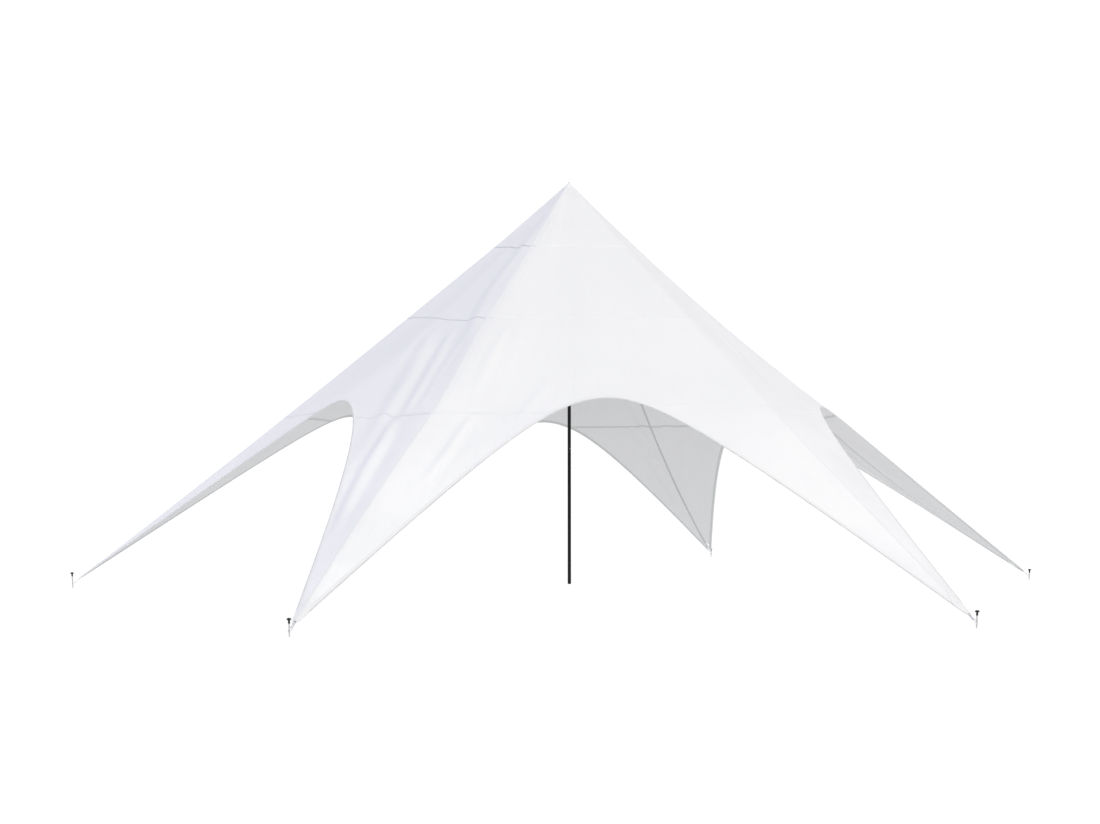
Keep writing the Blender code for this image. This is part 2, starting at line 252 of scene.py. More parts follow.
def more_folds():
    """Fainter folds down the other arms, with a fixed seed."""
    rng = random.Random(FOLD_SEED)
    made = []
    for arm in range(ARMS):
        if arm == FOLDED_ARM:
            continue
        for side in (-1, 1):
            quiet = (arm, side) in QUIET_SIDES
            for _ in range(3 if quiet else 6):
                start = rng.uniform(1.6, 3.9)
                length = rng.uniform(0.7, 1.5)
                reach = rng.uniform(0.2, 0.75) * min(1.2, arm_half_width(start + length))
                points = []
                for i in range(4):
                    along = min(start + length * i / 3, 5.2)
                    narrowing = 1 - 0.35 * i / 3
                    points.append((along, side * reach * narrowing + rng.uniform(-0.02, 0.02)))
                height = rng.uniform(0.002, 0.004) if quiet else rng.uniform(0.006, 0.013)
                made.append((arm, points, rng.uniform(0.05, 0.085), height))
    return made


def fold_height(bearing, radius):
    """Height that the folds add, for arrays of bearings and radii."""
    total = np.zeros_like(radius)
    plan = shifted(bearing, radius)
    for arm, points, half_width, height in [(FOLDED_ARM, *fold) for fold in FOLDS] + more_folds():
        turn = math.radians(arm * ARM_STEP)
        along = plan[..., 0] * math.cos(turn) + plan[..., 1] * math.sin(turn)
        aside = plan[..., 1] * math.cos(turn) - plan[..., 0] * math.sin(turn)
        path = rounded(points, 8)
        low, high = path.min(0) - 5 * half_width, path.max(0) + 5 * half_width
        near = (along > low[0]) & (along < high[0]) & (aside > low[1]) & (aside < high[1])
        if not near.any():
            continue
        spot = np.stack([along[near], aside[near]], 1)
        best = np.full(len(spot), 1e9)
        share = np.zeros(len(spot))
        for i, (a, b) in enumerate(zip(path[:-1], path[1:])):
            t = np.clip(((spot - a) @ (b - a)) / ((b - a) @ (b - a)), 0, 1)
            gap = np.linalg.norm(spot - a - t[:, None] * (b - a), axis=1)
            closer = gap < best
            best[closer] = gap[closer]
            share[closer] = (i + t[closer]) / (len(path) - 1)
        ends = np.clip(np.minimum(share, 1 - share) / FOLD_END, 0, 1)
        swell = np.clip(4 * share * (1 - share), 0, 1) ** 0.6 * ends * ends * (3 - 2 * ends)
        x = best / (half_width * (0.55 + 0.45 * swell))
        total[near] += height * swell * (1 - x * x) * np.exp(-x * x / 2)
    return total


def wander(bearing, radius):
    """Slow unevenness of stretched cloth, drawn out along the pull."""
    made = np.empty_like(radius)
    for i, (turn, r) in enumerate(zip(np.radians(bearing), radius)):
        slow = noise.noise(Vector((*polar(3.4, turn), r * 0.33)))
        fine = noise.noise(Vector((*polar(11, turn), r * 0.8 + 7)))
        made[i] = 0.010 * slow + 0.0035 * fine
    return made * np.clip((radius - 0.1) / 0.9, 0, 1)


def cloth_height(bearing, radius):
    """Height of the canopy, whose folds calm down near its edge."""
    calm = np.clip((1 - radius / cloth_radius(bearing)) / 0.05, 0.25, 1)
    uneven = fold_height(bearing, radius) + wander(bearing, radius)
    return smooth_height(bearing, radius) + calm * uneven


# Objects and materials


def thing(name, vertices, faces, look, marks=None):
    """A mesh piece riding on the one body. look is its slot, which is not used, and then its
    finishes, and marks gives each face's finish."""
    slot, *finishes = look
    mesh = bpy.data.meshes.new(name)
    mesh.from_pydata([tuple(v) for v in vertices], [], [tuple(f) for f in faces])
    mesh.validate()
    for finish in finishes:
        mesh.materials.append(finish)
    mesh.shade_smooth()
    if marks is not None:
        mesh.polygons.foreach_set("material_index", np.array(marks, dtype=np.int32))
    made = bpy.data.objects.new(name, mesh)
    bpy.context.scene.collection.objects.link(made)
    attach(made, "root")
    return made


def sharpen(piece, degrees):
    piece.data.set_sharp_from_angle(angle=math.radians(degrees))


def set_uv(piece, name, values):
    layer = piece.data.uv_layers.new(name=name)
    layer.uv.foreach_set("vector", np.asarray(values, dtype=np.float32).ravel())


def belt(a, b, n):
    """Quads between the rings of n vertices that start at a and at b."""
    return [(a + i, b + i, b + (i + 1) % n, a + (i + 1) % n) for i in range(n)]


class Nodes:
    """Shader nodes added to a tree."""

    def __init__(self, tree):
        self.tree = tree

    def add(self, kind, inputs=(), out=0, **props):
        made = self.tree.nodes.new("ShaderNode" + kind)
        for key, value in props.items():
            setattr(made, key, value)
        for key, value in dict(inputs).items():
            self.put(made.inputs[key], value)
        return made.outputs[out]

    def put(self, socket, value):
        if isinstance(value, bpy.types.NodeSocket):
            self.tree.links.new(value, socket)
        else:
            socket.default_value = value

    def math(self, operation, *values):
        return self.add("Math", dict(enumerate(values)), operation=operation)

    def times(self, first, second):
        return self.math("MULTIPLY", first, second)

    def less(self, first, second):
        return self.math("SUBTRACT", first, second)

    def apart(self, first, second):
        return self.math("ABSOLUTE", self.less(first, second))

    def dot(self, first, second):
        return self.add("VectorMath", {0: first, 1: second}, out=1, operation="DOT_PRODUCT")

    def parts(self, vector):
        return self.add("SeparateXYZ", {0: vector}).node.outputs

    def scaled(self, vector, scale):
        return self.add("Mapping", {"Vector": vector, "Scale": scale})

    def noise(self, vector, scale, detail=2.0, roughness=0.5, distortion=0.0):
        inputs = {"Vector": vector, "Scale": scale, "Detail": detail}
        inputs |= {"Roughness": roughness, "Distortion": distortion}
        return self.add("TexNoise", inputs)

    def band(self, value, low, high, to_low=0.0, to_high=1.0):
        inputs = {0: value, 1: low, 2: high, 3: to_low, 4: to_high}
        return self.add("MapRange", inputs, interpolation_type="SMOOTHSTEP")

    def tint(self, share, first, second):
        return self.add("Mix", {0: share, 6: first, 7: second}, out=2, data_type="RGBA")

    def bump(self, height, distance, strength=1.0, below=None):
        inputs = {"Height": height, "Distance": distance, "Strength": strength}
        if below is not None:
            inputs["Normal"] = below
        return self.add("Bump", inputs)

    def place(self):
        return self.add("TexCoord", out=3)

    def uv(self, name):
        return self.add("UVMap", uv_map=name)


class Finish(Nodes):
    """A material in the making."""

    def __init__(self, name, colour, roughness, **sockets):
        self.material = bpy.data.materials.new(name)
        self.material.use_nodes = True
        super().__init__(self.material.node_tree)
        self.shader = self.tree.nodes["Principled BSDF"]
        self.shader.inputs["Base Color"].default_value = colour
        self.shader.inputs["Roughness"].default_value = roughness
        for key, value in sockets.items():
            self.shader.inputs[key.replace("_", " ")].default_value = value
        self.material.diffuse_color = colour

    def wear(self, socket, value):
        self.put(self.shader.inputs[socket], value)


def rgb(r, g, b):
    return (r, g, b, 1)


WEAVE_PITCH = 0.0016
WEAVE_RELIEF = 0.00012
# Faces turned toward this bearing get little of the key light; the seam laps on them get a painted
# shadow.
SHADED_SIDE = (*polar(1, math.radians(200)), 0)
STITCH_ROWS = (-0.0085, 0.0085)
STITCHES_A_METRE = 250.0
LAP_AT = -0.011


def woven(f, weave_uv):
    """Height of a plain weave."""
    waves = [f.times(part, math.tau / WEAVE_PITCH) for part in f.parts(weave_uv)[:2]]
    return f.times(f.times(*(f.math("SINE", wave) for wave in waves)), 0.5)


def cloth_finish(name, colour, shade, low_lit_colour, soil, relief):
    """Coated polyester: a fine weave under a satin coat, faint creases, painted light that turns it
    paler low down, and soil near the ground. relief is how strongly the creases and the weave stand
    out."""
    f = Finish(name, colour, 0.55, Sheen_Weight=0.15, Sheen_Roughness=0.6, Specular_IOR_Level=0.35)
    place, up = f.place(), f.parts(f.place())[2]
    cloudy = f.noise(f.scaled(place, (0.5, 0.5, 0.5)), 1.6, 4.0, 0.55)
    streaks = f.noise(f.scaled(f.uv("rays"), (5.0, 0.7, 1)), 2.4, 5.0, 0.6, 0.4)
    # Painted light: from 3.6 m down to 0.4 m the cloth turns to its paler colour, standing in for
    # brighter light on the lower canopy.
    base = f.tint(f.band(up, 3.6, 0.4), colour, low_lit_colour)
    base = f.tint(f.times(f.band(cloudy, 0.35, 0.7), 0.6), base, shade)
    base = f.tint(f.times(f.band(streaks, 0.52, 0.80), 0.35), base, shade)
    splash = f.times(f.band(up, 0.75, 0.10), f.band(f.noise(place, 5.0, 4.0, 0.6), 0.40, 0.75))
    f.wear("Base Color", f.tint(f.times(splash, 0.12), base, soil))
    f.wear("Roughness", f.band(f.noise(place, 3.0, 1.0), 0.3, 0.7, 0.50, 0.60))
    creases = f.noise(f.scaled(f.uv("rays"), (9.0, 1.6, 1)), 2.0, 1.5, 0.55, 0.8)
    crease_height = f.times(f.less(creases, 0.5), f.band(f.noise(place, 2.2, 2.0), 0.35, 0.7))
    puckers = 0.0
    for height in SEAM_HEIGHTS:
        puckers = f.math("ADD", puckers, f.band(f.apart(up, height), 0.10, 0.015))
    ripple = f.noise(f.scaled(f.uv("weave"), (16.0, 1.5, 1)), 1.0, 2.0)
    creased = f.bump(crease_height, 0.012, 0.55 * relief)
    puckered = f.bump(f.times(puckers, f.less(ripple, 0.5)), 0.006, 0.6 * relief, creased)
    f.wear("Normal", f.bump(woven(f, f.uv("weave")), WEAVE_RELIEF, 0.1 * relief, puckered))
    return f.material


def seam_finish(name, colour, thread, line, lap_shadow_share=0.0):
    """A lapped seam with two rows of stitches; its UV map runs along it in metres. The last
    argument is how far a painted shadow darkens the lap's lower edge, most on faces turned toward
    bearing 200, away from the key light."""
    f = Finish(name, colour, 0.6, Sheen_Weight=0.1, Specular_IOR_Level=0.3)
    along, aside, _ = f.parts(f.uv("strip"))
    rows = 0.0
    for row in STITCH_ROWS:
        rows = f.math("ADD", rows, f.band(f.apart(aside, row), 0.0014, 0.0007))
    dash = f.apart(f.math("FRACT", f.times(along, STITCHES_A_METRE)), 0.5)
    stitch = f.times(rows, f.band(dash, 0.46, 0.36))
    blotch = f.noise(f.place(), 6.0, 5.0, 0.6)
    base = f.tint(f.times(f.band(blotch, 0.4, 0.75), 0.08), colour, line)
    if lap_shadow_share:
        # Painted shade: a dark line under the lap's lower edge, strong on faces turned away from
        # the key light and stronger on the upper seams.
        lap = f.band(f.apart(aside, LAP_AT), 0.0105, 0.0045)
        on_shaded_side = f.band(f.dot(f.add("TexCoord", out=1), SHADED_SIDE), 0.25, 0.60, 0.08, 1.0)
        up = f.band(f.parts(f.place())[2], SEAM_HEIGHTS[2], SEAM_HEIGHTS[0], 0.3, 1.0)
        base = f.tint(f.times(f.times(lap, on_shaded_side), f.times(up, lap_shadow_share)), base, line)
    f.wear("Base Color", f.tint(stitch, base, thread))
    cloth = f.bump(woven(f, f.uv("strip")), WEAVE_RELIEF, 0.5)
    pulled = f.bump(f.times(rows, -1.0), 0.0006, 0.6, cloth)
    f.wear("Normal", f.bump(stitch, 0.0008, 0.8, pulled))
    return f.material


def webbing_finish(name, colour, blotch_and_hollow_shade):
    """Flat woven polyester tape with ribs across it and a tight selvedge."""
    f = Finish(name, colour, 0.78, Sheen_Weight=0.25, Specular_IOR_Level=0.3)
    along, aside, _ = f.parts(f.uv("strip"))
    ribs = f.math("SINE", f.times(along, math.tau / 0.0022))
    cords = f.math("SINE", f.times(aside, math.tau / 0.0016))
    weave = f.times(ribs, cords)
    blotch = f.noise(f.place(), 8.0, 5.0, 0.6)
    base = f.tint(f.band(blotch, 0.35, 0.8), colour, blotch_and_hollow_shade)
    # Painted shade: the tape darkens in the hollows of its weave.
    f.wear("Base Color", f.tint(f.band(weave, -0.2, -1.0, 0.0, 0.5), base, blotch_and_hollow_shade))
    f.wear("Roughness", f.band(blotch, 0.3, 0.7, 0.7, 0.85))
    f.wear("Normal", f.bump(weave, 0.0003, 0.7))
    return f.material


def steel_finish(name, colour, roughness, spangle):
    """Galvanised steel: dull spangles, fine scratches and a little white bloom."""
    f = Finish(name, colour, roughness, Metallic=1.0)
    place = f.place()
    cells = f.add("TexVoronoi", {"Vector": place, "Scale": spangle})
    tone = f.band(f.parts(cells.node.outputs["Color"])[0], 0.0, 1.0)
    base = f.tint(tone, colour, rgb(*(c * 0.72 for c in colour[:3])))
    bloom = f.band(f.noise(place, 60.0, 6.0, 0.7), 0.5, 0.75)
    f.wear("Base Color", f.tint(f.times(bloom, 0.4), base, rgb(0.78, 0.79, 0.80)))
    f.wear("Roughness", f.band(tone, 0.0, 1.0, roughness - 0.08, roughness + 0.12))
    scratches = f.noise(f.scaled(place, (300, 300, 18)), 1.0, 3.0)
    f.wear("Normal", f.bump(scratches, 0.0002, 0.5))
    return f.material


def black_finish(name, base, worn, roughness, grain, specular):
    """Black coating or moulded plastic, with fine grain and paler rubbed patches."""
    f = Finish(name, base, roughness, Specular_IOR_Level=specular)
    place = f.place()
    rubbed = f.band(f.noise(f.scaled(place, (1, 1, 0.25)), 22.0, 8.0, 0.7), 0.58, 0.74)
    uneven = f.noise(place, 35.0, 4.0)
    f.wear("Base Color", f.tint(f.times(rubbed, 0.6), base, worn))
    f.wear("Roughness", f.band(uneven, 0.3, 0.7, roughness - 0.06, roughness + 0.10))
    f.wear("Normal", f.bump(f.noise(place, grain, 2.0), 0.00015, 0.5))
    return f.material


# The second white is painted light: the outer cloth's paler colour low down.
WHITE, LOW_LIT_WHITE = rgb(0.84, 0.843, 0.850), rgb(0.925, 0.929, 0.936)
OUTER_SHADE, OUTER_SOIL = rgb(0.815, 0.82, 0.84), rgb(0.60, 0.585, 0.54)
# The inside's colours are painted shade: the same white cloth, its soil and its stitching made
# darker, standing in for the shade under the canopy.
INNER_SHADED_GREY, INNER_SHADE = rgb(0.62, 0.622, 0.632), rgb(0.595, 0.60, 0.612)
INNER_SHADED_SOIL = rgb(0.45, 0.44, 0.42)
# The outer seams' second colour tints random blotches and, on the laps, the painted shadow.
OUTER_STITCHED = rgb(0.82, 0.82, 0.83), rgb(0.46, 0.465, 0.52)
INNER_SHADED_STITCHED = rgb(0.56, 0.56, 0.57), rgb(0.36, 0.38, 0.385)
outer_cloth = cloth_finish("cloth_outer", WHITE, OUTER_SHADE, LOW_LIT_WHITE, OUTER_SOIL, 1.0)
inner_cloth = cloth_finish("cloth_inner", INNER_SHADED_GREY, INNER_SHADE, INNER_SHADED_GREY, INNER_SHADED_SOIL, 0.5)
outer_seam = seam_finish("seam_outer", rgb(0.875, 0.878, 0.885), *OUTER_STITCHED, 0.80)
plain_seam = seam_finish("seam_plain", rgb(0.865, 0.868, 0.875), *OUTER_STITCHED)
# The inside of the seams and hems, and the ridges' inner faces, are darker still: painted shade,
# standing in for less light coming through the doubled cloth.
inner_seam = seam_finish("seam_inner", rgb(0.50, 0.515, 0.51), *INNER_SHADED_STITCHED)
ridge_inner = seam_finish("seam_inner_ridge", rgb(0.42, 0.44, 0.435), *INNER_SHADED_STITCHED)
grey_tape = webbing_finish("webbing_grey", rgb(0.73, 0.735, 0.745), rgb(0.61, 0.615, 0.625))
white_tape = webbing_finish("webbing_white", rgb(0.86, 0.86, 0.865), rgb(0.76, 0.765, 0.77))
thread = Finish("thread_white", rgb(0.80, 0.80, 0.81), 0.7).material
zinc = steel_finish("steel_galvanised", rgb(0.68, 0.685, 0.69), 0.42, 220.0)
bright_zinc = steel_finish("steel_zinc", rgb(0.87, 0.875, 0.88), 0.40, 400.0)
COAT_BLACK, COAT_WORN = rgb(0.006, 0.006, 0.0065), rgb(0.02, 0.02, 0.021)
PLASTIC_BLACK, PLASTIC_WORN = rgb(0.010, 0.010, 0.011), rgb(0.035, 0.035, 0.036)
coat = black_finish("coat_black", COAT_BLACK, COAT_WORN, 0.45, 700.0, 0.2)
plastic = black_finish("plastic_black", PLASTIC_BLACK, PLASTIC_WORN, 0.5, 900.0, 0.3)

# Each look is a slot and its finishes: the outside and then, where it differs, the inside.
SHEET_LOOK = "canopy_cloth", outer_cloth, inner_cloth
LEVEL_LOOK = "canopy_cloth", outer_seam, inner_seam
RIDGE_LOOK = "canopy_cloth", plain_seam, ridge_inner
HEM_LOOK = "canopy_cloth", plain_seam, inner_seam
PATCH_LOOK = "canopy_cloth", plain_seam
BINDING_LOOK = "webbing", grey_tape, grey_tape
STRAP_LOOK = "webbing", white_tape
THREAD_LOOK = "webbing", thread
ROD_LOOK = "galvanised_steel", zinc
FITTING_LOOK = "galvanised_steel", bright_zinc
POLE_LOOK = "pole_black", coat
PLASTIC_LOOK = "black_plastic", plastic


# Canopy


def canopy():
    """The one sheet: rings round the crown that double their columns, then rows down to the edge.
    Both faces are halved along the same lines, so that neither shows through the other."""
    across = np.linspace(-HALF_SPAN, HALF_SPAN, GORE_COLUMNS + 1)[:-1]
    spread = np.sign(across) * np.interp(np.abs(across), EDGE_ACROSS, EDGE_ANGLE)
    bearings = np.concatenate([HALF_GORE + spread + ARM_STEP * g for g in range(ARMS)])
    columns = len(bearings)
    starts, rings = [], []
    count = 0
    for radius, skip in CROWN_RINGS:
        starts.append((count, skip))
        ring = bearings[::skip]
        rings.append((ring, np.full(len(ring), radius)))
        count += len(ring)
    first_radius = CROWN_RINGS[-1][0]
    reach = cloth_radius(bearings)
    for row in range(1, CLOTH_ROWS + 1):
        starts.append((count, 1))
        rings.append((bearings, first_radius + (reach - first_radius) * row / CLOTH_ROWS))
        count += columns
    bearing = np.concatenate([r[0] for r in rings])
    radius = np.concatenate([r[1] for r in rings])
    height = cloth_height(bearing, radius)
    top = np.concatenate([shifted(bearing, radius), height[:, None]], 1)

    faces, gores = [], []
    for (inner, skip_in), (outer, skip_out) in zip(starts, starts[1:]):
        n = columns // skip_in
        for i in range(n):
            a, b = inner + i, inner + (i + 1) % n
            if skip_in == skip_out:
                c = [outer + i, outer + (i + 1) % n]
                made = [(a, c[0], c[1]), (a, c[1], b)]
            else:
                c = [outer + 2 * i, outer + 2 * i + 1, outer + (2 * i + 2) % (2 * n)]
                made = [(a, c[0], c[1]), (a, c[1], b), (b, c[1], c[2])]
            faces += made
            gores += [i * skip_in // GORE_COLUMNS] * len(made)
    scratch = bpy.data.meshes.new("scratch")
    scratch.from_pydata(top.tolist(), [], faces)
    normals = np.empty(len(top) * 3, dtype=np.float32)
    scratch.vertex_normals.foreach_get("vector", normals)
    bpy.data.meshes.remove(scratch)
    under = top - normals.reshape(-1, 3) * CLOTH_THICKNESS
    under_faces = [tuple(v + count for v in reversed(f)) for f in faces]
    rim = []
    for i in range(columns // CROWN_RINGS[0][1]):
        a, b = i, (i + 1) % (columns // CROWN_RINGS[0][1])
        rim.append((a, b, b + count, a + count))
    for i in range(columns):
        a, b = starts[-1][0] + i, starts[-1][0] + (i + 1) % columns
        rim.append((b, a, a + count, b + count))
    every = faces + under_faces + rim
    marks = [0] * len(faces) + [1] * len(faces) + [0] * len(rim)
    points = np.concatenate([top, under])
    made = thing("canopy", points, every, SHEET_LOOK, marks)
    flat = np.zeros(len(marks), dtype=bool)
    flat[2 * len(faces) :] = True
    shading = made.data.attributes
    sharp = shading.get("sharp_face") or shading.new("sharp_face", "BOOLEAN", "FACE")
    sharp.data.foreach_set("value", flat)

    face_gore = np.array(gores + gores + [0] * len(rim))
    loop_gore = np.repeat(face_gore, [len(f) for f in every])
    loop_vertex = np.empty(len(made.data.loops), dtype=np.int32)
    made.data.loops.foreach_get("vertex_index", loop_vertex)
    x, y = points[loop_vertex, 0], points[loop_vertex, 1]
    centre = np.radians(loop_gore * ARM_STEP + HALF_GORE)
    aside = y * np.cos(centre) - x * np.sin(centre)
    ahead = x * np.cos(centre) + y * np.sin(centre)
    set_uv(made, "weave", np.stack([aside, ahead * SLOPE_STRETCH], 1))
    swing = np.mod(np.degrees(np.arctan2(y, x)) - loop_gore * ARM_STEP + HALF_GORE, 360) - HALF_GORE
    turned_by = (swing + loop_gore * ARM_STEP) * RAYS_A_DEGREE
    set_uv(made, "rays", np.stack([turned_by, np.hypot(x, y)], 1))
    return made, BVHTree.FromPolygons(top.tolist(), faces)


sheet, cloth_tree = canopy()


def cloth_at(x, y):
    """Point and outward normal of the canopy's upper face above a place in plan."""
    spot, normal, _, _ = cloth_tree.ray_cast(Vector((x, y, 9)), Vector((0, 0, -1)))
    if spot is None:
        height = height_at(math.degrees(math.atan2(y, x)), math.hypot(x, y))
        spot, normal, _, _ = cloth_tree.find_nearest(Vector((x, y, height)))
        fall = ((x - spot.x) * normal.x + (y - spot.y) * normal.y) / normal.z
        spot = Vector((x, y, spot.z - fall))
    if normal.z < 0:
        normal = -normal
    return spot, normal


def carried(spot, normal, dx, dy):
    """A spot moved aside in plan, along the plane that it lies in."""
    return spot + Vector((dx, dy, -(dx * normal.x + dy * normal.y) / normal.z))


def along_path(path, closed):
    """Unit direction across a plan path at each of its points, to the left of its run."""
    if closed:
        run = np.roll(path, -1, 0) - np.roll(path, 1, 0)
    else:
        run = np.gradient(path, axis=0)
    run /= np.linalg.norm(run, axis=1)[:, None]
    return np.stack([-run[:, 1], run[:, 0]], 1)


def wrapped(name, vertices, uvs, width, look, closed=False, start=0):
    """A band round both faces of the cloth. vertices holds the upper and then the lower row of each
    section, width points each, and uvs holds one row a section. start is the corner that a quad
    begins at, which sets the way it is halved."""
    sections = len(uvs) // width
    ring = [*range(width), *reversed(range(width, 2 * width))]
    faces, marks, corners = [], [], []
    for i in range(sections if closed else sections - 1):
        a, b = i * 2 * width, (i + 1) % sections * 2 * width
        after = min(i + 1, sections - 1)
        closing = 0.03 if after == i else 0.0
        for p, q in zip(ring, ring[1:] + ring[:1]):
            quad = [(a, i, p), (b, after, p), (b, after, q), (a, i, q)]
            quad = quad[start:] + quad[:start]
            faces.append(tuple(base + k for base, _, k in quad))
            marks.append(int(min(p, q) >= width))
            for _, section, k in quad:
                u, v = uvs[section * width + k % width]
                corners.append((u + closing, v))
    if not closed:
        for cap in (ring, [(sections - 1) * 2 * width + k for k in reversed(ring)]):
            faces.append(tuple(cap))
            marks.append(0)
            corners += [(0.0, 0.0)] * len(cap)
    made = thing(name, vertices, faces, look, marks if len(look) > 2 else None)
    set_uv(made, "strip", corners)
    sharpen(made, 50)
    return made


EDGE_INSET = 0.0015


def strip(name, path, profile, look, closed=False, limit=None):
    """A sewn band along a plan path. profile is (aside, lift, under): metres left of the path, lift
    over the upper face, and depth below the lower one. limit is the most that it reaches aside."""
    vertices, uvs = [], []
    run = 0.0
    for i, (spot, side) in enumerate(zip(path, along_path(path, closed))):
        if i:
            run += float(np.linalg.norm(path[i] - path[i - 1])) * RUN_STRETCH
        upper, lower = [], []
        for aside, lift, under in profile:
            reach = inward = aside
            if limit is not None:
                reach = max(-limit[i], min(limit[i], aside))
                inward = max(reach, EDGE_INSET)
            base, normal = cloth_at(*(spot + side * inward))
            if inward != reach:
                base = carried(base, normal, *(side * (reach - inward)))
            upper.append(base + normal * lift)
            lower.append(base - normal * (CLOTH_THICKNESS + under))
            uvs.append((run, aside))
        vertices += upper + lower
    return wrapped(name, vertices, uvs, len(profile), look, closed, 1)


def resampled(path, closed=False):
    """A plan path's points, evenly a strip's step apart."""
    path = np.asarray(path, float)
    if closed:
        path = np.vstack([path, path[:1]])
    gaps = np.linalg.norm(np.diff(path, axis=0), axis=1)
    length = np.concatenate([[0], np.cumsum(gaps)])
    count = max(2, round(length[-1] / STRIP_STEP))
    marks = np.linspace(0, length[-1], count + 1)
    if closed:
        marks = marks[:-1]
    return np.stack([np.interp(marks, length, path[:, k]) for k in (0, 1)], 1)


SEAM_PROFILE = (
    (-0.016, 0.0002, 0.0001), (-0.0145, 0.001, 0.001), (0.0, 0.0013, 0.0014),
    (0.0145, 0.0009, 0.001), (0.016, 0.0002, 0.0001),
)
RIDGE_PROFILE = (
    (-0.014, 0.0002, 0.0002), (-0.0125, 0.0009, 0.0022), (0.0, 0.0011, 0.003),
    (0.0125, 0.0009, 0.0022), (0.014, 0.0002, 0.0002),
)
HEM_PROFILE = (
    (-0.0012, 0.0004, 0.0004), (0.0004, 0.0009, 0.0014), (0.018, 0.001, 0.0016),
    (0.036, 0.0008, 0.0012), (0.0375, 0.0002, 0.0002),
)
BINDING_PROFILE = (
    (-0.0042, 0.0006, 0.0006), (-0.0022, 0.0028, 0.0026), (0.003, 0.0032, 0.0036),
    (0.006, 0.003, 0.0036), (0.007, 0.001, 0.0036),
)


def level_seams():
    """Three level seams: two right round, and one over each arm from arch to arch."""
    for label, height, most in zip(("upper", "middle"), SEAM_HEIGHTS, SEAM_RISES):
        bearing = np.arange(0, 360, 0.25)
        from_rise = np.clip((bearing - SEAM_RISE_AT) * 1.5, -90, 90)
        radius = radius_at_height(bearing, height + most * np.cos(np.radians(from_rise)) ** 2)
        path = resampled(shifted(bearing, radius), True)
        strip(f"level_seam_{label}", path, SEAM_PROFILE, LEVEL_LOOK, True)
    for arm in range(ARMS):
        bearing = arm * ARM_STEP + np.arange(-HALF_GORE, HALF_GORE + 0.01, 0.05)
        radius = radius_at_height(bearing, SEAM_HEIGHTS[-1] - LOWER_SEAM_DROP[arm])
        inside = radius < cloth_radius(bearing) - 0.004
        inside &= np.abs(bearing - arm * ARM_STEP) < HALF_GORE - 2
        path = resampled(shifted(bearing[inside], radius[inside]))
        strip(f"level_seam_lower_{arm + 1}", path, SEAM_PROFILE, LEVEL_LOOK)


def ridge_seams():
    for arm in range(ARMS):
        radius = np.arange(0.06, CLOTH_STATION - 0.01, STRIP_STEP)
        path = shifted(np.full(len(radius), float(arm * ARM_STEP)), radius)
        strip(f"ridge_seam_{arm + 1}", path, RIDGE_PROFILE, RIDGE_LOOK)


def arch_path(arch):
    """The edge of an arch in plan, from the end of one arm to the next."""
    end = float(np.interp(CLOTH_STATION, EDGE_ALONG, EDGE_ACROSS))
    across = np.linspace(-end, end, 1201)
    out = arch_edge(np.abs(across))[0]
    ahead = np.array(polar(1, math.radians(HALF_GORE + arch * ARM_STEP)))
    left = np.array([-ahead[1], ahead[0]])
    return resampled(out[:, None] * ahead + across[:, None] * left)


def hems():
    """The folded hem of each arch, and the grey binding sewn round its edge."""
    for arch in range(ARMS):
        path = arch_path(arch)
        x, y = path.T
        from_ridge = np.radians(HALF_GORE - off_centre(np.degrees(np.arctan2(y, x))))
        limit = np.maximum(np.hypot(x, y) * np.sin(from_ridge) * 0.9, 0.004)
        strip(f"hem_{arch + 1}", path, HEM_PROFILE, HEM_LOOK, limit=limit)
        name = f"edge_binding_{arch + 1}"
        binding = strip(name, path, BINDING_PROFILE, BINDING_LOOK, limit=limit)
        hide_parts(f"edge_webbing_{arch + 1}")


level_seams()
ridge_seams()
hems()


# Turned pieces


def turned(name, profile, sides, look, sharp=40):
    """A piece turned about +Z from (radius, height) points; a radius of 0 closes it."""
    vertices, faces, rows = [], [], []
    for radius, height in profile:
        count = sides if radius else 1
        rows.append(list(range(len(vertices), len(vertices) + count)))
        vertices += [(*polar(radius, math.tau * i / sides), height) for i in range(count)]
    for low, high in zip(rows, rows[1:]):
        for i in range(sides):
            j = (i + 1) % sides
            if len(low) == 1:
                faces.append((low[0], high[j], high[i]))
            elif len(high) == 1:
                faces.append((low[i], low[j], high[0]))
            else:
                faces.append((low[i], low[j], high[j], high[i]))
    made = thing(name, vertices, faces, look)
    sharpen(made, sharp)
    return made


def eased(profile, ease):
    """A profile with each of its corners cut by a small chamfer."""
    made = [profile[0]]
    for before, here, after in zip(profile, profile[1:], profile[2:]):
        for other in (before, after):
            dx, dy = other[0] - here[0], other[1] - here[1]
            length = math.hypot(dx, dy)
            cut = min(ease, length * 0.4) / length
            made.append((here[0] + dx * cut, here[1] + dy * cut))
    return made + [profile[-1]]


SPRING_BUTTON = (
    (0, -0.002), (0.0048, -0.002), (0.0048, 0.0012), (0.004, 0.0026), (0.0022, 0.0034), (0, 0.0037),
)
SPRING_BUTTON_TURN = math.radians(-70)
SPRING_BUTTON_RISE = 0.05


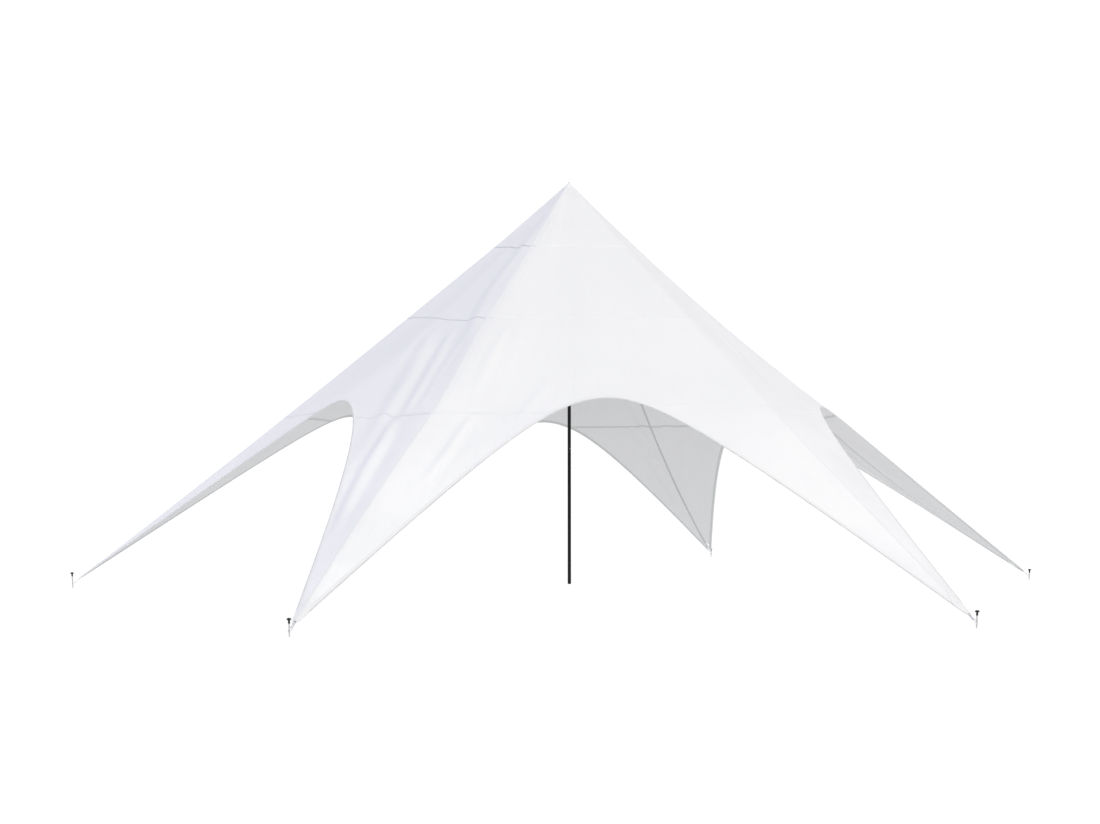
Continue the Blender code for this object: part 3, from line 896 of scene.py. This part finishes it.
def pole():
    """Three lengths of tube, with a fine joint and a spring button where they meet, and a foot."""
    r = POLE_RADIUS
    groove = ((0, -0.003), (-0.0012, -0.0012), (-0.0012, 0.0012), (0, 0.003))
    profile = [(0, 0), (r - 0.001, 0), (r - 0.001, 0.016), (r, 0.0165)]
    for joint in POLE_JOINTS:
        profile += [(r + dr, joint + dz) for dr, dz in groove]
    profile += [(r, POLE_TOP), (0, POLE_TOP)]
    tube = turned("pole_tube", eased(profile, 0.0006), 48, POLE_LOOK)
    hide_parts("pole")
    for i, joint in enumerate(POLE_JOINTS):
        button = turned(f"pole_button_{i + 1}", SPRING_BUTTON, 20, FITTING_LOOK)
        seated = Matrix.Translation((r, 0, joint + SPRING_BUTTON_RISE))
        seated = seated @ Matrix.Rotation(math.radians(90), 4, "Y")
        button.data.transform(Matrix.Rotation(SPRING_BUTTON_TURN, 4, "Z") @ seated)


def pole_head():
    """The head on the pole: a sleeve, a flared dish under the cloth, and a blunt tip."""

    def underside(radius):
        return height_at(HALF_GORE, radius) - UNDER_CLOTH

    seat = POLE_TOP + 0.0003
    rim = underside(0.07)
    flare = (
        (0.027, 0.040), (0.031, 0.034), (0.044, 0.020), (0.062, 0.0135), (0.069, 0.0115),
        (0.070, 0.009), (0.070, 0.002), (0.068, 0),
    )
    profile = [(0, seat), (0.0255, seat), (0.027, seat + 0.002)]
    profile += [(radius, rim - drop) for radius, drop in flare]
    profile += [(radius, underside(radius)) for radius in (0.045, 0.025, 0.012)]
    made = turned("head_dish", [*profile, (0, underside(0.012) + 0.001)], 64, PLASTIC_LOOK)
    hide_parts("pole_head")
    return made


CROWN_RAYS = 72
CROWN_TOP = 0.003
# The crown patch as (radius, lift over the cloth), down to where its rim meets the cloth.
CROWN_PATCH = (
    (0.012, CROWN_TOP), (0.03, 0.0026), (0.05, 0.0024), (0.07, 0.0024), (0.088, 0.0028),
    (0.0925, 0.0034), (0.0945, 0.0028), (0.095, 0.0008), (0.094, -0.0004),
)
CROWN_STITCH_AT = 0.092
CROWN_BUTTON = (
    (0, -0.012), (0.011, -0.012), (0.014, 0.0), (0.014, 0.002), (0.0115, 0.0054), (0.0072, 0.008),
    (0.0034, 0.0092), (0, 0.0095),
)


def crown():
    """The round patch over the apex, turned under at its rim, and the button on its middle."""
    vertices, uvs = [(0, 0, APEX_HEIGHT + CROWN_TOP)], [(0, 0)]
    for radius, lift in CROWN_PATCH:
        for i in range(CROWN_RAYS):
            turn = math.tau * i / CROWN_RAYS
            x, y = polar(radius, turn)
            spot, normal = Vector((x, y, APEX_HEIGHT - radius * 0.75)), Vector((0, 0, 1))
            if radius > 0.02:
                spot, normal = cloth_at(x, y)
            vertices.append(spot + normal * lift)
            uvs.append((turn * radius, radius - CROWN_STITCH_AT))
    faces = [(0, 1 + i, 1 + (i + 1) % CROWN_RAYS) for i in range(CROWN_RAYS)]
    for first in range(1, len(vertices) - CROWN_RAYS, CROWN_RAYS):
        faces += belt(first, first + CROWN_RAYS, CROWN_RAYS)
    faces.append(tuple(reversed(range(len(vertices) - CROWN_RAYS, len(vertices)))))
    patch = thing("crown_patch", vertices, faces, PATCH_LOOK)
    set_uv(patch, "strip", [uvs[v] for f in faces for v in f])
    sharpen(patch, 60)
    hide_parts("crown_cap")
    button = turned("crown_button", CROWN_BUTTON, 40, FITTING_LOOK)
    button.data.transform(Matrix.Translation((0, 0, APEX_HEIGHT - 0.0015)))


def lean_out(piece, arm):
    """Leans a piece away from the tent about the strap's height, and puts it at the arm's peg."""
    for vertex in piece.data.vertices:
        vertex.co.x += PEG_RADIUS + (vertex.co.z - STRAP_HEIGHT) * math.tan(PEG_LEAN)
    piece.data.transform(Matrix.Rotation(math.radians(arm * ARM_STEP), 4, "Z"))
    piece.data.update()


def pegs():
    """Galvanised rods with a slight point at the ground, each under a black mushroom cap."""
    r = ROD_RADIUS
    bore = r + 0.0003
    rib = ((0.0092, 0), (0.0087, 0.0008), (0.0087, 0.0022), (0.0092, 0.003))
    brim = ((0.0092, 0.008), (0.011, 0.0055), (0.016, 0.0032), (0.0198, 0.0018), (CAP_RADIUS, 0))
    for arm, showing in enumerate(PEG_SHOWING):
        rim = showing - CAP_RISE
        rod_top, end = rim - 0.004, rim - 0.034
        rod = [(0, 0), (r * 0.80, 0), (r * 0.90, 0.010), (r * 0.97, 0.022), (r, 0.034)]
        rod += [(r, rod_top - 0.001), (r - 0.001, rod_top), (0, rod_top)]
        shank = turned(f"peg_rod_{arm + 1}", rod, 32, ROD_LOOK)
        lean_out(shank, arm)
        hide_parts(f"peg_{arm + 1}")
        cap = [(0, rod_top + 0.0003), (bore, rod_top + 0.0003), (bore, end + 0.001)]
        cap += [(bore + 0.0004, end), (0.0092, end), (0.0096, end + 0.0012)]
        for i in range(3):
            cap += [(radius, end + 0.005 + 0.007 * i + dz) for radius, dz in rib]
        cap += [(radius, rim - drop) for radius, drop in brim]
        for degrees in (8, 20, 34, 48, 62, 76):
            turn = math.radians(degrees)
            cap.append((CAP_RADIUS * math.cos(turn), rim + CAP_RISE * math.sin(turn)))
        cap.append((0, showing))
        head = turned(f"peg_mushroom_{arm + 1}", cap, 40, PLASTIC_LOOK, 48)
        lean_out(head, arm)
        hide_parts(f"peg_cap_{arm + 1}")


# The fittings at the arms' ends

TAPE_SECTION = (
    (-1, -0.25), (-0.94, -0.5), (0, -0.5), (0.94, -0.5), (1, -0.25),
    (1, 0.25), (0.94, 0.5), (0, 0.5), (-0.94, 0.5), (-1, 0.25),
)


def ribbon(name, centre, look):
    """A strap's tape along a path in the XZ plane, its width along Y, with rounded selvedges."""
    centre = np.asarray(centre, float)
    run = np.gradient(centre, axis=0)
    run /= np.linalg.norm(run, axis=1)[:, None]
    lengths = np.concatenate([[0], np.cumsum(np.linalg.norm(np.diff(centre, axis=0), axis=1))])
    vertices, uvs, faces = [], [], []
    for (x, z), (tx, tz), length in zip(centre, run, lengths):
        for side, up in TAPE_SECTION:
            lift, aside = up * TAPE_THICKNESS, side * STRAP_HALF_WIDTH
            vertices.append((x - tz * lift, aside, z + tx * lift))
            uvs.append((length, aside))
    n = len(TAPE_SECTION)
    for a in range(0, len(vertices) - n, n):
        b = a + n
        faces += [(b + j, b + (j + 1) % n, a + (j + 1) % n, a + j) for j in range(n)]
    faces += [tuple(reversed(range(n))), tuple(range(len(vertices) - n, len(vertices)))]
    made = thing(name, vertices, faces, look)
    set_uv(made, "strip", [uvs[v] for f in faces for v in f])
    sharpen(made, 50)
    return made


def wire_link(name, look):
    """A closed wire link in the XY plane: straight sides between two round ends."""
    steps, sides = 14, 14
    path = []
    for end in (1, -1):
        for i in range(steps + 1):
            x, y = polar(LINK_HALF_WIDTH, -math.pi / 2 + math.pi * i / steps)
            path.append((end * (LINK_HALF_LENGTH - LINK_HALF_WIDTH + x), end * y))
    vertices, faces = [], []
    n = len(path)
    for i, (x, y) in enumerate(path):
        before, after = path[i - 1], path[(i + 1) % n]
        dx, dy = after[0] - before[0], after[1] - before[1]
        length = math.hypot(dx, dy)
        for j in range(sides):
            reach, up = polar(WIRE, math.tau * j / sides)
            vertices.append((x + dy / length * reach, y - dx / length * reach, up))
        faces += belt(i * sides, (i + 1) % n * sides, sides)
    return thing(name, vertices, faces, look)


SLIDE_LENGTH, SLIDE_WIDTH, SLIDE_BAR, SLIDE_THICKNESS = 0.024, 0.034, 0.0034, 0.0030


def slide_buckle(name, look):
    """A three-bar slide: a rounded steel frame with a bar across its middle."""
    half, bar = SLIDE_LENGTH / 2, SLIDE_BAR
    xs = [-half, -half + bar, -bar / 2, bar / 2, half - bar, half]
    half = SLIDE_WIDTH / 2
    ys = [-half, -half + bar, half - bar, half]
    vertices, faces = [], []
    for z in (-SLIDE_THICKNESS / 2, SLIDE_THICKNESS / 2):
        vertices += [(x, y, z) for x in xs for y in ys]
    cells = {(i, j) for i in range(5) for j in range(3)} - {(1, 1), (3, 1)}

    def at(i, j, top):
        return i * len(ys) + j + top * len(xs) * len(ys)

    for i, j in sorted(cells):
        faces.append((at(i, j, 1), at(i + 1, j, 1), at(i + 1, j + 1, 1), at(i, j + 1, 1)))
        faces.append((at(i, j, 0), at(i, j + 1, 0), at(i + 1, j + 1, 0), at(i + 1, j, 0)))
        for (di, dj), (p, q) in {
            (-1, 0): ((i, j + 1), (i, j)),
            (1, 0): ((i + 1, j), (i + 1, j + 1)),
            (0, -1): ((i, j), (i + 1, j)),
            (0, 1): ((i + 1, j + 1), (i, j + 1)),
        }.items():
            if (i + di, j + dj) not in cells:
                faces.append((at(*p, 0), at(*q, 0), at(*q, 1), at(*p, 1)))
    made = thing(name, vertices, faces, look)
    bevel = made.modifiers.new("rounded", "BEVEL")
    bevel.width = 0.0012
    bevel.segments = 3
    bevel.limit_method = "ANGLE"
    return made


def bar_tacks(name, spots, half_width, look):
    """Short dense rows of stitches across a strap, as fine raised ribs."""
    ribs = 14
    vertices, faces = [], []
    for x, z in spots:
        base = len(vertices)
        for i in range(ribs + 1):
            y = -half_width + 2 * half_width * i / ribs
            swell = 0.0011 if i % 2 else 0.0007
            for dx, dz in ((-0.0016, 0), (-0.0008, swell), (0.0008, swell), (0.0016, 0)):
                vertices.append((x + dx, y, z + dz))
        for a in range(base, base + ribs * 4, 4):
            b = a + 4
            faces += [(a + j, a + (j + 1) % 4, b + (j + 1) % 4, b + j) for j in range(4)]
        faces.append(tuple(base + j for j in reversed(range(4))))
        faces.append(tuple(base + ribs * 4 + j for j in range(4)))
    return thing(name, vertices, faces, look)


def tip_fittings(arm):
    """The strap doubled round a wire link, its slide and stitching, and the link round the peg."""
    label = arm + 1
    bearing = arm * ARM_STEP

    def seat(along):
        off = math.degrees(math.atan2(STRAP_HALF_WIDTH, along))
        return height_at(bearing + off, math.hypot(STRAP_HALF_WIDTH, along)) - UNDER_CLOTH

    top, low = seat(STRAP_START), seat(CLOTH_STATION)
    fall = (top - low) / (CLOTH_STATION - STRAP_START)
    slope = math.atan(fall)
    at_peg = low - fall * (PEG_RADIUS - CLOTH_STATION)
    peg_x = PEG_RADIUS + (at_peg - STRAP_HEIGHT) * math.tan(PEG_LEAN)
    link_at = (peg_x - STRAP_START) / math.cos(slope)
    link_at += ROD_RADIUS + WIRE * 0.2 - (LINK_HALF_LENGTH - WIRE)
    bar = link_at - LINK_HALF_LENGTH
    turn_round = Matrix.Rotation(math.radians(bearing), 4, "Z")
    tilt = Matrix.Rotation(slope, 4, "Y")

    def world(s, n):
        """The place s along the strap and n above it, on arm 0."""
        ahead = Vector((math.cos(slope), 0, -math.sin(slope)))
        up = Vector((math.sin(slope), 0, math.cos(slope)))
        return Vector((STRAP_START, 0, top)) + ahead * s + up * n

    def flat(spots):
        places = [world(s, n) for s, n in spots]
        return [(p.x, p.z) for p in places]

    wrap = WIRE + TAPE_THICKNESS / 2 + 0.0002
    middle = -0.0028
    path = []
    for s in np.linspace(0, bar - 0.004, 26):
        opening = max(0.0, (s - bar + 0.03) / 0.03) ** 2
        path.append((s, middle + TAPE_APART + (wrap - TAPE_APART) * opening))
    turns = np.linspace(0, math.pi, 13)
    turn = [(bar + wrap * math.sin(t), middle + wrap * math.cos(t)) for t in turns]
    back = [(s, 2 * middle - n) for s, n in reversed(path)]
    strap = ribbon(f"arm_strap_{label}", flat(path + turn + back), STRAP_LOOK)
    strap.data.transform(turn_round)
    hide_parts(f"tip_strap_{label}")

    link = wire_link(f"strap_link_{label}", FITTING_LOOK)
    link.data.transform(turn_round @ Matrix.Translation(world(link_at, middle)) @ tilt)

    slide = slide_buckle(f"strap_slide_{label}", FITTING_LOOK)
    slide_at = (CLOTH_STATION - STRAP_START) / math.cos(slope) + 0.017
    slide.data.transform(turn_round @ Matrix.Translation(world(slide_at, middle + 0.0032)) @ tilt)

    on_tape = middle + TAPE_APART + TAPE_THICKNESS / 2 - 0.0002
    tacks_at = flat([(bar - 0.036, on_tape), (bar - 0.031, on_tape)])
    tacks = bar_tacks(f"strap_tack_{label}", tacks_at, STRAP_HALF_WIDTH * 0.9, THREAD_LOOK)
    tacks.data.transform(turn_round)


def tip_patch(arm):
    """The patch folded over an arm's end."""
    shares = (-1.0, -0.97, -0.5, 0.0, 0.5, 0.97, 1.0)
    lifts = (0.0006, 0.0044, 0.0048, 0.0052, 0.0048, 0.0044, 0.0006)
    c, s = polar(1, math.radians(arm * ARM_STEP))
    start = CLOTH_STATION - TIP_PATCH_LENGTH
    stations = np.append(np.arange(start, CLOTH_STATION - 0.002, 0.02), CLOTH_STATION + 0.003)
    vertices, uvs = [], []
    for along in stations:
        taper = 0.004 + 0.6 * (along - start + 0.002)
        half_width = min(arm_half_width(min(along, CLOTH_STATION)) + 0.001, taper)
        inside = min(along, CLOTH_STATION - EDGE_INSET)
        room = arm_half_width(inside) - EDGE_INSET
        upper, lower = [], []
        for share, lift in zip(shares, lifts):
            side = share * half_width
            reach = max(-room, min(room, side))
            spot, normal = cloth_at(inside * c - reach * s, inside * s + reach * c)
            out, over = along - inside, side - reach
            spot = carried(spot, normal, out * c - over * s, out * s + over * c)
            upper.append(spot + normal * lift)
            lower.append(spot - normal * (CLOTH_THICKNESS + min(lift, 0.0012)))
            uvs.append((along, side))
        vertices += upper + lower
    wrapped(f"tip_patch_{arm + 1}", vertices, uvs, len(shares), PATCH_LOOK)


pole()
dish = pole_head()
crown()
pegs()
for arm in range(ARMS):
    tip_fittings(arm)
    tip_patch(arm)

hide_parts(*[n for n in frame["nodes"] if n.startswith("canopy_")])


# Stage, light and camera

FLOOR_RAYS = 96
FLOOR_RINGS = (4.0, 9.0, 20.0, 60.0, 200.0)
SUN_TOWARD = (303, 40)
SKY_NEAR_TOWARD = (200, 20)
SKY_FAR = rgb(0.625, 0.61, 0.725)
SKY_NEAR = rgb(0.722, 0.742, 0.880)
CAMERA_PLACE = (-2.0181, -16.4990, 1.344)
CAMERA_TILT = math.radians(90) + 0.0469
CAMERA_TURN = math.radians(-6.15)
CAMERA_LENS = 43.852


def stage():
    """A pale floor that is as bright as the backdrop."""
    mesh = bpy.data.meshes.new("floor")
    vertices = [(0, 0, 0)]
    for radius in FLOOR_RINGS:
        vertices += [(*polar(radius, math.tau * i / FLOOR_RAYS), 0) for i in range(FLOOR_RAYS)]
    faces = [(0, 1 + i, 1 + (i + 1) % FLOOR_RAYS) for i in range(FLOOR_RAYS)]
    for first in range(1, len(vertices) - FLOOR_RAYS, FLOOR_RAYS):
        faces += belt(first, first + FLOOR_RAYS, FLOOR_RAYS)
    mesh.from_pydata(vertices, [], faces)
    floor = bpy.data.objects.new("floor", mesh)
    bpy.context.scene.collection.objects.link(floor)
    floor.location.z = -0.0005
    f = Finish("floor_pale", rgb(0.10, 0.10, 0.10), 1.0, Specular_IOR_Level=0.0)
    f.wear("Emission Color", rgb(1, 1, 1))
    f.wear("Emission Strength", 0.955)
    mesh.materials.append(f.material)


def skyward(bearing, elevation):
    """Unit direction toward a bearing and elevation in degrees."""
    level, up = polar(1, math.radians(elevation))
    return Vector((*polar(level, math.radians(bearing)), up))


def lights():
    """A warm key from the front right under a cool, soft sky that is brightest on the left. The
    camera sees a plain white sky instead."""
    scene = bpy.context.scene
    scene.view_settings.view_transform = "Standard"
    scene.view_settings.look = "None"
    scene.world = bpy.data.worlds.new("studio")
    scene.world.use_nodes = True
    sky = Nodes(scene.world.node_tree)
    toward = sky.dot(sky.add("TexCoord"), skyward(*SKY_NEAR_TOWARD))
    near = sky.add("MapRange", {0: toward, 1: -1.0, 2: 1.0})
    soft = sky.add("Background", {"Color": sky.tint(near, SKY_FAR, SKY_NEAR)})
    plain = sky.add("Background", {"Color": rgb(1, 1, 1), "Strength": 1.05})
    shown = sky.add("MixShader", {0: sky.add("LightPath"), 1: soft, 2: plain})
    sky.put(sky.tree.nodes["World Output"].inputs["Surface"], shown)
    key = bpy.data.lights.new("key", "SUN")
    key.energy = 1.13
    key.angle = math.radians(20)
    key.color = (1.0, 0.97, 0.63)
    lamp = bpy.data.objects.new("key", key)
    lamp.rotation_mode = "QUATERNION"
    lamp.rotation_quaternion = skyward(*SUN_TOWARD).to_track_quat("Z", "Y")
    scene.collection.objects.link(lamp)


def camera():
    """The camera of the photograph, as fitted to the tent's points."""
    data = bpy.data.cameras.new("camera")
    data.sensor_width = 36
    data.lens = CAMERA_LENS
    data.clip_end = 500
    made = bpy.data.objects.new("camera", data)
    made.location = CAMERA_PLACE
    made.rotation_euler = (CAMERA_TILT, 0, CAMERA_TURN)
    bpy.context.scene.collection.objects.link(made)
    bpy.context.scene.camera = made


stage()
lights()
camera()
